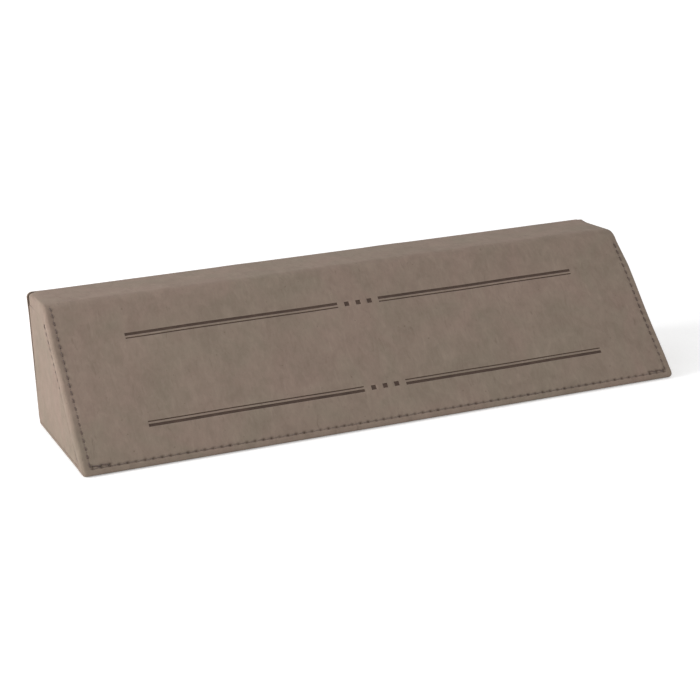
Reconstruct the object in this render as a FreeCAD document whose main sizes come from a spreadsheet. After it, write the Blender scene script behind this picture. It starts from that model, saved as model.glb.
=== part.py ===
"""Desk name plate: a leatherette-covered wedge of glued greyboard, in millimetres.

Frame: X runs along the length, Y from the face to the back, Z up. The origin is the middle of
the underside's outline, so the plate stands on Z = 0 and its face looks towards -Y.

The section is a right trapezium. Its four outer lines are the base, the upright back, the flat
top strip and the slope of the face. Every layer lies parallel to one of those lines, so a piece
is drawn by naming its sides and, for each side, the layers that lie outside it.
"""
import FreeCAD, Part
import math
import os
import sys

import Sketcher
from FreeCAD import Rotation, Vector

DRIVING_SIZES = {
    # The wedge as a whole.
    "length": 254.0,            # 10 in, end to end
    "depth": 80.0,              # sharp toe corner to back
    "height": 56.0,
    "top_strip": 31.0,          # flat strip on top, back of the shoulder
    # Soft corners of the cover.
    "shoulder_radius": 9.0,     # where the face meets the top
    "toe_radius": 1.5,          # where the face meets the base
    "rim_radius": 1.4,          # where the face and the top meet the ends
    # Layers.
    "skin": 1.0,                # leatherette
    "foam": 1.5,
    "board": 2.5,               # greyboard
    "card": 1.0,                # stiffener in the back and base panels
    # Turn-ins and seams of the cover.
    "toe_lip": 10.0,            # face cover turned under the base
    "back_lip": 12.0,           # top cover turned down the back
    "end_lip": 10.0,            # end cover turned on to the back and the base
    "end_margin": 5.2,          # face cover turned on to each end
    "panel_gap": 0.3,           # base panel behind the toe lip
    "panel_inset": 0.3,         # panels short of the ends
    "back_reveal": 0.5,         # back panel short of the top
    # Sewing.
    "stitch_margin": 3.1,       # side rows in from the ends
    "hem_margin": 4.0,          # bottom row up from the toe
    "stitch_pitch": 3.37,
    "stitch_length": 2.4,
    "thread_width": 0.6,
    "thread_height": 0.3,
    "groove_width": 0.8,
    "groove_depth": 0.35,
    "tack_offset": 0.8,         # back-tack above the bottom row
    "tack_count": 2,            # stitches in a back-tack
}

SHOULDER_STITCHES = 2           # stitches of the left row that go on round the shoulder

SHEET = "Sizes"


def size(name):
    """Return a driving size as the text of an expression."""
    return "{}.{}".format(SHEET, name)


def less(first, *others):
    """Return the expression for a size less others."""
    return " - ".join([first] + [size(name) for name in others])


def total(names):
    """Return the expression for a stack of layers."""
    return " + ".join(size(name) for name in names)


def thickness(names):
    """Return the thickness of a stack of layers as a number."""
    return sum(DRIVING_SIZES[name] for name in names)


# The layers outside each part of the plate, from the outside inwards.
PANEL = ("skin", "card")                        # back panel or base panel
TURN_IN = PANEL + ("skin",)                     # and the turned-in cover under it
INSIDE_BOX = TURN_IN + ("board",)               # at the back and the base
PADDED = ("skin", "foam")                       # cover and foam on the face and the top
INSIDE_PADDED = PADDED + ("board",)

HALF_LENGTH = size("length") + " / 2"
SLOPE_RUN = "({} - {})".format(size("depth"), size("top_strip"))
SLOPE_ANGLE = "atan2({}; {})".format(size("height"), SLOPE_RUN)
SLOPE_LENGTH = "sqrt({} ^ 2 + {} ^ 2)".format(size("height"), SLOPE_RUN)
SHOULDER_TANGENT = "{} * tan({} / 2)".format(size("shoulder_radius"), SLOPE_ANGLE)
# The sharp toe corner of the section stands a little in front of the rounded cover.
TOE_ROUNDING = "{} * (1 / tan({} / 2) - 1)".format(size("toe_radius"), SLOPE_ANGLE)
TOE_Y = "-({} + {}) / 2".format(size("depth"), TOE_ROUNDING)


def add_size_sheet(document):
    """Put the driving dimensions in a spreadsheet, one named cell each."""
    sheet = document.addObject("Spreadsheet::Sheet", SHEET)
    for row, (name, value) in enumerate(DRIVING_SIZES.items(), start=1):
        sheet.set("A{}".format(row), name)
        sheet.set("B{}".format(row), str(value))
        sheet.setAlias("B{}".format(row), name)
    document.recompute()


# --- The outer section, and lines parallel to its sides ---------------------------------------

OUTER_LINES = ("base", "back", "top", "slope")
PLUMB = "plumb"             # the upright line through the toe

# How a sketch numbers its own axes and the points of a line or an arc.
ORIGIN = -1
UPRIGHT_AXIS = -2
START = 1
END = 2
CENTRE = 3
SAME_PLACE = 0.001          # points nearer than this are one point


class Side:
    """A side of a piece's section: a line parallel to an outer line, inside some layers."""

    def __init__(self, line, layers=(), corner=None, corner_layers=()):
        """corner names the radius where this side ends, less the layers outside it."""
        self.line = line
        self.layers = layers
        self.corner = corner
        self.corner_layers = corner_layers

    def radius(self):
        """Return the radius of the corner where this side ends."""
        return DRIVING_SIZES[self.corner] - thickness(self.corner_layers)

    def radius_expression(self):
        """Return the same radius as an expression."""
        return less(size(self.corner), *self.corner_layers)


def outer_corners():
    """Return the corners of the outer section, in Y and Z from the toe."""
    depth = DRIVING_SIZES["depth"]
    height = DRIVING_SIZES["height"]
    shoulder = depth - DRIVING_SIZES["top_strip"]
    return Vector(0, 0), Vector(depth, 0), Vector(depth, height), Vector(shoulder, height)


def line_of(side):
    """Return a point on the side's line, and the line's direction."""
    if side.line == PLUMB:
        return Vector(thickness(side.layers), 0), Vector(0, 1)
    corners = outer_corners()
    place = OUTER_LINES.index(side.line)
    start = corners[place]
    direction = (corners[(place + 1) % len(corners)] - start).normalize()
    inwards = Vector(-direction.y, direction.x)
    return start + inwards * thickness(side.layers), direction


def crossing(side, other):
    """Return the point where the lines of two sides cross."""
    point, direction = line_of(side)
    other_point, other_direction = line_of(other)
    gap = other_point - point
    turn = direction.x * other_direction.y - direction.y * other_direction.x
    along = (gap.x * other_direction.y - gap.y * other_direction.x) / turn
    return point + direction * along


def bind(sketch, constraint, expression):
    """Add a dimension to a sketch and bind it to the sheet."""
    index = sketch.addConstraint(constraint)
    sketch.setExpression("Constraints[{}]".format(index), expression)


def add_outer_lines(sketch):
    """Draw the outer section as construction lines, and return their numbers by name."""
    corners = outer_corners()
    lines = {PLUMB: UPRIGHT_AXIS}
    for place, name in enumerate(OUTER_LINES):
        line = Part.LineSegment(corners[place], corners[(place + 1) % len(corners)])
        lines[name] = sketch.addGeometry(line, True)
    for name, following in zip(OUTER_LINES, OUTER_LINES[1:] + OUTER_LINES[:1]):
        join = Sketcher.Constraint("Coincident", lines[name], END, lines[following], START)
        sketch.addConstraint(join)
    sketch.addConstraint(Sketcher.Constraint("Coincident", lines["base"], START, ORIGIN, START))
    sketch.addConstraint(Sketcher.Constraint("Horizontal", lines["base"]))
    sketch.addConstraint(Sketcher.Constraint("Vertical", lines["back"]))
    sketch.addConstraint(Sketcher.Constraint("Horizontal", lines["top"]))
    for line, name in (("base", "depth"), ("back", "height"), ("top", "top_strip")):
        bind(sketch, Sketcher.Constraint("Distance", lines[line], DRIVING_SIZES[name]), size(name))
    return lines


def rounded_corner(corner, before, after, radius):
    """Return where an arc starts, its middle and where it ends, in the corner of two lines."""
    towards_before = (before - corner).normalize()
    towards_after = (after - corner).normalize()
    half_angle = towards_before.getAngle(towards_after) / 2
    reach = radius / math.tan(half_angle)
    bisector = (towards_before + towards_after).normalize()
    middle = corner + bisector * (radius / math.sin(half_angle) - radius)
    return corner + towards_before * reach, middle, corner + towards_after * reach


def add_section(body, sides, name=None):
    """Draw a closed section across the length from its sides, in order round the piece."""
    sketch = body.newObject("Sketcher::SketchObject", name or body.Name + "_section")
    sketch.AttachmentSupport = [(origin_feature(body, "YZ_Plane"), "")]
    sketch.MapMode = "FlatFace"
    outer = add_outer_lines(sketch)
    following = sides[1:] + sides[:1]
    corners = [crossing(side, other) for side, other in zip(sides, following)]

    arcs = {}
    line_ends = list(corners)
    line_starts = corners[-1:] + corners[:-1]
    for place, side in enumerate(sides):
        if side.corner:
            after = (place + 1) % len(sides)
            arc = rounded_corner(corners[place], corners[place - 1], corners[after], side.radius())
            arcs[place] = arc
            line_ends[place] = arc[0]
            line_starts[after] = arc[2]

    lines = []
    for side, start, end in zip(sides, line_starts, line_ends):
        line = sketch.addGeometry(Part.LineSegment(start, end), False)
        lines.append(line)
        sketch.addConstraint(Sketcher.Constraint("Parallel", line, outer[side.line]))
        if side.layers:
            inset = thickness(side.layers)
            gap = Sketcher.Constraint("Distance", line, START, outer[side.line], inset)
            bind(sketch, gap, total(side.layers))
        else:
            sketch.addConstraint(Sketcher.Constraint("PointOnObject", line, START, outer[side.line]))

    for place, side in enumerate(sides):
        after = lines[(place + 1) % len(sides)]
        if place not in arcs:
            sketch.addConstraint(Sketcher.Constraint("Coincident", lines[place], END, after, START))
            continue
        arc = sketch.addGeometry(Part.Arc(*arcs[place]), False)
        starts_here = sketch.getPoint(arc, START).isEqual(arcs[place][0], SAME_PLACE)
        first, last = (START, END) if starts_here else (END, START)
        sketch.addConstraint(Sketcher.Constraint("Tangent", lines[place], END, arc, first))
        sketch.addConstraint(Sketcher.Constraint("Tangent", arc, last, after, START))
        bind(sketch, Sketcher.Constraint("Radius", arc, side.radius()), side.radius_expression())
    return sketch


def origin_feature(body, role):
    """Return the body's own origin plane or axis with this role."""
    return next(item for item in body.Origin.OriginFeatures if item.Role == role)


# --- Prisms, plates and boxes -----------------------------------------------------------------

def add_body(document, label):
    """Add a body whose own origin is the toe corner."""
    body = document.addObject("PartDesign::Body", label)
    body.Label = label
    body.setExpression("Placement.Base.y", TOE_Y)
    return body


def add_pad(body, sketch, length, symmetric=False):
    """Pad a section along the length by an expression."""
    pad = body.newObject("PartDesign::Pad", sketch.Name + "_pad")
    pad.Profile = sketch
    pad.SideType = "Symmetric" if symmetric else "One side"
    pad.setExpression("Length", length)
    body.Tip = pad


def long_piece(document, label, sides, end_layers=()):
    """Make a prism along the length, inside a stack of layers at each end."""
    body = add_body(document, label)
    add_pad(body, add_section(body, sides), less(size("length"), *(end_layers * 2)), symmetric=True)
    return body


def left_plate(document, label, sides, plate, outside=()):
    """Make a plate across the left end, inside a stack of layers."""
    body = add_body(document, label)
    add_pad(body, add_section(body, sides), size(plate))
    body.setExpression("Placement.Base.x", "-({})".format(less(HALF_LENGTH, *outside)))
    return body


def mirrored(document, label, piece):
    """Make the right-hand twin of a left-hand piece."""
    twin = document.addObject("Part::Mirroring", label)
    twin.Label = label
    twin.Source = piece
    twin.Base = Vector(0, 0, 0)
    twin.Normal = Vector(1, 0, 0)
    return twin


def round_rims(body, radius):
    """Round the edges where the toe, the slope, the shoulder and the top meet the two ends."""
    body.Document.recompute()
    prism = body.Tip
    names = []
    for number, edge in enumerate(prism.Shape.Edges, start=1):
        box = edge.BoundBox
        across = box.XLength < SAME_PLACE
        upright = box.YLength < SAME_PLACE
        if across and not upright:
            names.append("Edge{}".format(number))
    rims = body.newObject("PartDesign::Fillet", body.Name + "_rims")
    rims.Base = (prism, names)
    rims.setExpression("Radius", radius)
    body.Tip = rims


def box_between(document, label, half_x, y_span, z_span):
    """Make a box as wide as twice half_x, between two expressions from the toe and the base."""
    box = document.addObject("Part::Box", label)
    box.Label = label
    box.setExpression("Length", "2 * ({})".format(half_x))
    box.setExpression("Width", "({}) - ({})".format(y_span[1], y_span[0]))
    box.setExpression("Height", "({}) - ({})".format(z_span[1], z_span[0]))
    box.setExpression("Placement.Base.x", "-({})".format(half_x))
    box.setExpression("Placement.Base.y", "{} + {}".format(TOE_Y, y_span[0]))
    box.setExpression("Placement.Base.z", z_span[0])
    return box


def cut(document, label, base, *tools):
    """Cut one or more solids out of a piece."""
    tool = tools[0]
    if len(tools) > 1:
        tool = document.addObject("Part::MultiFuse", label + "_tools")
        tool.Shapes = list(tools)
    result = document.addObject("Part::Cut", label)
    result.Label = label
    result.Base = base
    result.Tool = tool
    return result


# --- The greyboard box ------------------------------------------------------------------------

def make_boards(document):
    """Make the box: face, top, back and base boards between two end boards, and one rib."""
    sections = {
        "front_board": [
            Side("slope", PADDED),
            Side("base", INSIDE_BOX),
            Side("slope", INSIDE_PADDED),
            Side("top", INSIDE_PADDED),
        ],
        "top_board": [
            Side("top", PADDED),
            Side("slope", PADDED),
            Side("top", INSIDE_PADDED),
            Side("back", TURN_IN),
        ],
        "back_board": [
            Side("back", TURN_IN),
            Side("top", INSIDE_PADDED),
            Side("back", INSIDE_BOX),
            Side("base", INSIDE_BOX),
        ],
        "base_board": [
            Side("base", TURN_IN),
            Side("back", TURN_IN),
            Side("base", INSIDE_BOX),
            Side("slope", PADDED),
        ],
    }
    pieces = [
        long_piece(document, label, sides, end_layers=("skin", "board"))
        for label, sides in sections.items()
    ]

    end_sides = [
        Side("base", TURN_IN),
        Side("back", TURN_IN),
        Side("top", PADDED),
        Side("slope", PADDED),
    ]
    left_end = left_plate(document, "left_end_board", end_sides, "board", outside=("skin",))
    pieces.append(left_end)
    pieces.append(mirrored(document, "right_end_board", left_end))

    rib_sides = [
        Side("base", INSIDE_BOX),
        Side("back", INSIDE_BOX),
        Side("top", INSIDE_PADDED),
        Side("slope", INSIDE_PADDED),
    ]
    rib = add_body(document, "centre_rib")
    add_pad(rib, add_section(rib, rib_sides), size("board"), symmetric=True)
    pieces.append(rib)
    return pieces


# --- Back and base panels ---------------------------------------------------------------------

def make_panels(document):
    """Make the two panels that hide the turn-ins: card with a skin round its face and edges."""
    base_front = total(("toe_lip", "panel_gap"))
    base_back = less(size("depth"), "panel_inset")
    back_top = less(size("height"), "back_reveal")
    skin_half_x = less(HALF_LENGTH, "panel_inset")
    card_half_x = less(HALF_LENGTH, "panel_inset", "skin")

    base_card = box_between(
        document, "base_card", card_half_x,
        (base_front + " + " + size("skin"), less(base_back, "skin")), (size("skin"), total(PANEL)),
    )
    base_blank = box_between(
        document, "base_cover_blank", skin_half_x, (base_front, base_back), ("0", total(PANEL)),
    )
    back_card = box_between(
        document, "back_card", card_half_x,
        (less(size("depth"), *PANEL), less(size("depth"), "skin")),
        (total(TURN_IN), less(back_top, "skin")),
    )
    back_blank = box_between(
        document, "back_cover_blank", skin_half_x,
        (less(size("depth"), *PANEL), size("depth")), (total(PANEL), back_top),
    )
    return [
        base_card,
        cut(document, "base_cover", base_blank, base_card),
        back_card,
        cut(document, "back_cover", back_blank, back_card),
    ]


# --- Sewing -----------------------------------------------------------------------------------

FLAT_LENGTH = "({} - {})".format(SLOPE_LENGTH, SHOULDER_TANGENT)
ROW_LENGTH = "({} - {})".format(FLAT_LENGTH, size("hem_margin"))
ROW_COUNT = "floor({} / {})".format(ROW_LENGTH, size("stitch_pitch"))
HEM_LENGTH = "({} - 2 * {})".format(size("length"), size("stitch_margin"))
HEM_COUNT = "floor({} / {})".format(HEM_LENGTH, size("stitch_pitch"))
HEM_START = "-({} - 1) * {} / 2".format(HEM_COUNT, size("stitch_pitch"))
SEAM_START = "({} + {})".format(size("hem_margin"), size("end_margin"))
SEAM_LENGTH = "({} - {} - {})".format(SLOPE_LENGTH, SEAM_START, SHOULDER_TANGENT)
SEAM_COUNT = "floor({} / {})".format(SEAM_LENGTH, size("stitch_pitch"))
ROW_X = "-({} - {})".format(HALF_LENGTH, size("stitch_margin"))


def lay_on_slope(thing, x, along, lift):
    """Turn a thing to lie on the face: along runs up the slope, lift stands off it."""
    about_length = Rotation(Vector(1, 0, 0), 1)
    thing.Placement.Rotation = about_length
    thing.setExpression("Placement.Rotation.Angle", SLOPE_ANGLE)
    thing.setExpression("Placement.Base.x", x)
    thing.setExpression(
        "Placement.Base.y",
        "{} + ({}) * cos({a}) - ({}) * sin({a})".format(TOE_Y, along, lift, a=SLOPE_ANGLE),
    )
    thing.setExpression(
        "Placement.Base.z", "({}) * sin({a}) + ({}) * cos({a})".format(along, lift, a=SLOPE_ANGLE),
    )


def lay_on_shoulder(thing, x, past, lift, half_length="0"):
    """Turn a thing to lie round the shoulder, its middle a length past the end of the slope.

    Where past is below nothing, the thing lies on the slope, that far before its end.
    half_length is how far the thing's own origin is from its middle.
    """
    before = "max(-({}); 0)".format(past)
    turned = "max(({}) / {}; 0) * 180 / pi * 1deg".format(past, size("shoulder_radius"))
    lean = "({} - {})".format(SLOPE_ANGLE, turned)
    reach = "({} + {})".format(size("shoulder_radius"), lift)
    thing.Placement.Rotation = Rotation(Vector(1, 0, 0), 1)
    thing.setExpression("Placement.Rotation.Angle", lean)
    thing.setExpression("Placement.Base.x", x)
    thing.setExpression(
        "Placement.Base.y",
        "{y} + {run} + {tangent} - {reach} * sin({lean}) - {half} * cos({lean}) - {before} * cos({a})"
        .format(y=TOE_Y, run=SLOPE_RUN, tangent=SHOULDER_TANGENT, reach=reach, lean=lean,
                half=half_length, before=before, a=SLOPE_ANGLE),
    )
    thing.setExpression(
        "Placement.Base.z",
        "{top} - {radius} + {reach} * cos({lean}) - {half} * sin({lean}) - {before} * sin({a})"
        .format(top=size("height"), radius=size("shoulder_radius"), reach=reach, lean=lean,
                half=half_length, before=before, a=SLOPE_ANGLE),
    )


def add_stitch_outline(body, plane, lengthways):
    """Draw one stitch about the sketch's centre: a strip with round ends."""
    sketch = body.newObject("Sketcher::SketchObject", body.Name + "_stitch")
    sketch.AttachmentSupport = [(origin_feature(body, plane), "")]
    sketch.MapMode = "FlatFace"
    half_width = DRIVING_SIZES["thread_width"] / 2
    half_run = (DRIVING_SIZES["stitch_length"] - DRIVING_SIZES["thread_width"]) / 2
    run = Vector(half_run, 0) if lengthways else Vector(0, half_run)
    side = Vector(0, half_width) if lengthways else Vector(half_width, 0)
    tip = run.normalize() * half_width
    run = run * half_run
    first = sketch.addGeometry(Part.LineSegment(-run + side, run + side), False)
    far_end = sketch.addGeometry(Part.Arc(run + side, run + tip, run - side), False)
    second = sketch.addGeometry(Part.LineSegment(run - side, -run - side), False)
    near_end = sketch.addGeometry(Part.Arc(-run - side, -run - tip, -run + side), False)
    joins = ((first, far_end), (far_end, second), (second, near_end), (near_end, first))
    for one, other in joins:
        ends = matching_ends(sketch, one, other)
        sketch.addConstraint(Sketcher.Constraint("Tangent", one, ends[0], other, ends[1]))
    straight = "Horizontal" if lengthways else "Vertical"
    sketch.addConstraint(Sketcher.Constraint(straight, first))
    bind(sketch, Sketcher.Constraint("Radius", far_end, half_width), size("thread_width") + " / 2")
    bind(
        sketch, Sketcher.Constraint("Distance", first, 2 * half_run),
        less(size("stitch_length"), "thread_width"),
    )
    centred = Sketcher.Constraint("Symmetric", far_end, CENTRE, near_end, CENTRE, ORIGIN, START)
    sketch.addConstraint(centred)
    return sketch


def matching_ends(sketch, one, other):
    """Return which ends of two sketch lines meet."""
    for end in (START, END):
        for other_end in (START, END):
            if sketch.getPoint(one, end).isEqual(sketch.getPoint(other, other_end), SAME_PLACE):
                return end, other_end
    raise ValueError("the lines don't meet")


def stitch_row(document, label, count, row_axis="Y_Axis", plane="XY_Plane"):
    """Make a row of equal stitches along one axis of the body, from the body's own origin."""
    body = document.addObject("PartDesign::Body", label)
    body.Label = label
    lengthways = row_axis == "X_Axis" or plane == "YZ_Plane"
    add_pad(body, add_stitch_outline(body, plane, lengthways), size("thread_height"))
    stitch = body.Tip
    row = body.newObject("PartDesign::LinearPattern", label + "_run")
    row.Originals = [stitch]
    row.Direction = (origin_feature(body, row_axis), [""])
    row.Mode = "Spacing"
    row.setExpression("Offset", size("stitch_pitch"))
    row.setExpression("Occurrences", count)
    body.Tip = row
    return body


def shoulder_stitches(document, half_width, sunk, through):
    """Make the left row's stitches round the shoulder, and a channel for each.

    The right row ends where the slope does.
    """
    half_pitch = "({} / 2)".format(size("stitch_pitch"))
    stitches, channels = [], []
    for number in range(1, SHOULDER_STITCHES + 1):
        past = "({} + {} - 0.5) * {} - {}".format(
            ROW_COUNT, number, size("stitch_pitch"), ROW_LENGTH,
        )
        stitch = document.addObject("PartDesign::Body", "left_shoulder_stitch_{}".format(number))
        add_pad(stitch, add_stitch_outline(stitch, "XY_Plane", False), size("thread_height"))
        lay_on_shoulder(stitch, ROW_X, past, sunk)
        channel = document.addObject("Part::Box", "left_shoulder_groove_{}".format(number))
        channel.setExpression("Length", size("groove_width"))
        channel.setExpression("Width", size("stitch_pitch"))
        channel.setExpression("Height", through)
        lay_on_shoulder(channel, "{} - {}".format(ROW_X, half_width), past, sunk, half_pitch)
        stitches.append(stitch)
        channels.append(channel)
    return stitches, channels


def groove(document, label, x_size, along_size, lift_size, x, along, lift):
    """Make the box that sinks a channel for one row of stitches."""
    channel = document.addObject("Part::Box", label)
    channel.Label = label
    channel.setExpression("Length", x_size)
    channel.setExpression("Width", along_size)
    channel.setExpression("Height", lift_size)
    lay_on_slope(channel, x, along, lift)
    return channel


def make_sewing(document):
    """Make the thread rows and the channels that they lie in."""
    half_pitch = size("stitch_pitch") + " / 2"
    half_width = size("groove_width") + " / 2"
    sunk = "-" + size("groove_depth")
    through = "2 * " + size("groove_depth")
    tack_height = total(("hem_margin", "tack_offset"))
    tack_length = "{} * {}".format(size("tack_count"), size("stitch_pitch"))

    left_run = stitch_row(document, "left_slope_run", ROW_COUNT)
    lay_on_slope(left_run, ROW_X, "{} + {}".format(size("hem_margin"), half_pitch), sunk)
    round_stitches, round_channels = shoulder_stitches(document, half_width, sunk, through)
    left_row = document.addObject("Part::MultiFuse", "left_stitch_row")
    left_row.Label = "left_stitch_row"
    left_row.Shapes = [left_run] + round_stitches
    hem_row = stitch_row(document, "bottom_stitch_row", HEM_COUNT, row_axis="X_Axis")
    lay_on_slope(hem_row, HEM_START, size("hem_margin"), sunk)
    tack = stitch_row(document, "left_back_tack", size("tack_count"), row_axis="X_Axis")
    lay_on_slope(tack, HEM_START, tack_height, sunk)
    seam_row = stitch_row(document, "left_end_stitch_row", SEAM_COUNT, plane="YZ_Plane")
    lay_on_slope(
        seam_row,
        "-{} + {} - {}".format(HALF_LENGTH, size("groove_depth"), size("thread_height")),
        "{} + {}".format(SEAM_START, half_pitch),
        "-" + size("end_margin"),
    )

    row_groove = groove(
        document, "left_groove", size("groove_width"), ROW_LENGTH + " + " + half_width, through,
        "{} - {}".format(ROW_X, half_width), "{} - {}".format(size("hem_margin"), half_width), sunk,
    )
    hem_groove = groove(
        document, "bottom_groove",
        HEM_LENGTH + " + " + size("groove_width"), size("groove_width"), through,
        "{} - {}".format(ROW_X, half_width), "{} - {}".format(size("hem_margin"), half_width), sunk,
    )
    tack_groove = groove(
        document, "left_tack_groove", tack_length, size("groove_width"), through,
        "{} - {}".format(HEM_START, half_pitch), "{} - {}".format(tack_height, half_width), sunk,
    )
    seam_groove = groove(
        document, "left_seam_groove", through, SEAM_LENGTH, size("groove_width"),
        "-{} - {}".format(HALF_LENGTH, size("groove_depth")), SEAM_START,
        "-{} - {}".format(size("end_margin"), half_width),
    )
    threads = [hem_row, left_row, mirrored(document, "right_stitch_row", left_run)]
    for piece in (tack, seam_row):
        threads += [piece, mirrored(document, piece.Label.replace("left", "right"), piece)]
    grooves = [hem_groove] + round_channels
    for channel in (row_groove, tack_groove, seam_groove):
        grooves += [channel, mirrored(document, channel.Label.replace("left", "right"), channel)]
    return threads, grooves, seam_groove


# --- Cover and foam ---------------------------------------------------------------------------

def make_end_blank(document):
    """Make the left end cover: a plate inside the face cover's margin, with two turn-ins."""
    plate = [
        Side("base", PANEL),
        Side("back", PANEL),
        Side("top", ("end_margin",)),
        Side("slope", ("end_margin",)),
    ]
    back_turn_in = [
        Side("base", PANEL),
        Side("back", PANEL),
        Side("top", ("back_lip",)),
        Side("back", TURN_IN),
    ]
    base_turn_in = [
        Side("base", PANEL),
        Side("back", PANEL),
        Side("base", TURN_IN),
        Side(PLUMB, ("toe_lip",)),
    ]
    blank = left_plate(document, "left_end_blank", plate, "skin")
    add_pad(blank, add_section(blank, back_turn_in, "back_turn_in"), size("end_lip"))
    add_pad(blank, add_section(blank, base_turn_in, "base_turn_in"), size("end_lip"))
    return blank


def make_cover(document, grooves, seam_groove):
    """Make the face cover, the end covers and the foam under the face and the top."""
    outside = long_piece(document, "cover_outside", [
        Side("base"),
        Side("back", PANEL),
        Side("top", corner="shoulder_radius"),
        Side("slope", corner="toe_radius"),
    ])
    round_rims(outside, size("rim_radius"))
    inside = long_piece(document, "cover_inside", [
        Side("base", ("skin",)),
        Side("back", TURN_IN),
        Side("top", ("skin",), corner="shoulder_radius", corner_layers=("skin",)),
        Side("slope", ("skin",), corner="toe_radius", corner_layers=("skin",)),
    ], end_layers=("skin",))
    round_rims(inside, less(size("rim_radius"), "skin"))
    box_core = long_piece(document, "box_core", [
        Side("base", TURN_IN), Side("back", TURN_IN), Side("top", PADDED), Side("slope", PADDED),
    ])
    behind_toe_lip = (size("toe_lip"), size("depth"))
    below = "-" + size("skin")
    panel_space = box_between(
        document, "panel_space", HALF_LENGTH, behind_toe_lip, (below, total(PANEL)),
    )
    board_space = box_between(
        document, "board_space", HALF_LENGTH, behind_toe_lip, (below, total(TURN_IN)),
    )
    back_space = box_between(
        document, "back_space", HALF_LENGTH,
        (less(size("depth"), *INSIDE_BOX), size("depth")), (below, less(size("height"), "back_lip")),
    )
    left_blank = make_end_blank(document)
    right_blank = mirrored(document, "right_end_blank", left_blank)
    left_end = cut(document, "left_end_cover", left_blank, seam_groove)
    return [
        cut(
            document, "front_cover", outside,
            inside, panel_space, back_space, left_blank, right_blank, *grooves,
        ),
        left_end,
        mirrored(document, "right_end_cover", left_end),
        cut(document, "front_foam", inside, box_core, board_space),
    ]


# --- Build, check and write -------------------------------------------------------------------

def faults(document, pieces, threads):
    """Return what is wrong with the document's objects or with the pieces' shapes."""
    found = []
    for item in document.Objects:
        if "Invalid" in item.State or "Error" in item.State:
            found.append("{} failed: {}".format(item.Label, item.State))
    for piece in pieces:
        if piece.Shape.isNull() or not piece.Shape.isValid():
            found.append("{} has no valid shape".format(piece.Label))
        elif not piece.Shape.Solids:
            found.append("{} has no solid".format(piece.Label))
        elif len(piece.Shape.Solids) > 1 and piece not in threads:
            found.append("{} fell apart".format(piece.Label))
    return found


def build():
    """Build the plate, check it and write one STEP file for each piece."""
    document = FreeCAD.newDocument("desk_name_plate")
    add_size_sheet(document)
    pieces = make_boards(document) + make_panels(document)
    threads, grooves, seam_groove = make_sewing(document)
    pieces += make_cover(document, grooves, seam_groove) + threads
    document.recompute()

    problems = faults(document, pieces, threads)
    for problem in problems:
        print(problem)
    if problems:
        sys.exit(1)

    os.makedirs("parts", exist_ok=True)
    for piece in pieces:
        piece.Shape.exportStep(os.path.join("parts", piece.Label + ".step"))
        count = len(piece.Shape.Solids)
        print("{:22s} {:3d} solid(s) {:9.1f} mm3".format(piece.Label, count, piece.Shape.Volume))


build()
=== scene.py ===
# %% [markdown]
# # A desk name plate in leatherette
#
# The real object is a long wedge of greyboard. A thin foam lies on its sloping face, and a
# nubuck-like leatherette is stretched over the foam, sewn near its edges and glued round the
# ends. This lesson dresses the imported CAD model: the boards and cards stay as they are, and each
# soft layer is replaced by a mesh with the softness, seams and grain of the real one.
#
# The cells can be read in order. Lengths are in millimetres until a mesh is made, because a
# maker thinks in millimetres, and Blender gets metres.

# %% Load the frame
import math

import bpy
import numpy as np
from mathutils import Matrix, Vector


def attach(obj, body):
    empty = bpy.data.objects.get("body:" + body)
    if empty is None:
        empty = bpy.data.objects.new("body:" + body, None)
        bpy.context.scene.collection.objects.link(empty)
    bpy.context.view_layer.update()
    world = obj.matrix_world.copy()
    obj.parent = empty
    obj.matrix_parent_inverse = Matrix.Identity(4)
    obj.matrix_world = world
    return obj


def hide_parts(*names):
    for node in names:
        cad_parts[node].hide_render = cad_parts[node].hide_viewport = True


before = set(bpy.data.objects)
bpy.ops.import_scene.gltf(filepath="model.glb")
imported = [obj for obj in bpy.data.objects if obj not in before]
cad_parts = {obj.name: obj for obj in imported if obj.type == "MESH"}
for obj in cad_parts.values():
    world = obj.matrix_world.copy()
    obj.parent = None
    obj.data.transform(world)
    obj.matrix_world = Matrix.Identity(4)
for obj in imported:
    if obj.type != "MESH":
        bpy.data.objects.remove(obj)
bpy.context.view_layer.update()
MM = 0.001
print("CAD nodes:", ", ".join(sorted(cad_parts)))

# %% [markdown]
# ## The camera
#
# The photograph was taken from the left, a little above the plate, with the camera slightly
# tilted. A camera can be placed by hand until it looks right, but here its place was worked out
# from the corners of the object in the photograph, so only the result is written down.

# %% Camera at the photograph's angle
AIM = Vector((-19.0, -40.9, 34.03))
DISTANCE, AZIMUTH, ELEVATION, ROLL = 681.44, -21.09, 15.23, -3.0
LENS, SENSOR = 90.53, 36.0


def camera_axes(azimuth, elevation, roll):
    """Return the camera's right, up and back directions."""
    a, e, r = (math.radians(angle) for angle in (azimuth, elevation, roll))
    back = Vector((math.sin(a) * math.cos(e), -math.cos(a) * math.cos(e), math.sin(e)))
    level = Vector((math.cos(a), math.sin(a), 0.0))
    upright = back.cross(level)
    right = level * math.cos(r) + upright * math.sin(r)
    return right, back.cross(right), back


right, up, back = camera_axes(AZIMUTH, ELEVATION, ROLL)
camera_data = bpy.data.cameras.new("photo_camera")
camera_data.lens, camera_data.sensor_width = LENS, SENSOR
camera = bpy.data.objects.new("photo_camera", camera_data)
turned = Matrix((right, up, back)).transposed().to_4x4()
camera.matrix_world = Matrix.Translation((AIM + back * DISTANCE) * MM) @ turned
bpy.context.collection.objects.link(camera)
bpy.context.scene.camera = camera
print("Camera at", [round(c) for c in camera.matrix_world.translation / MM], "mm")

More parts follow.
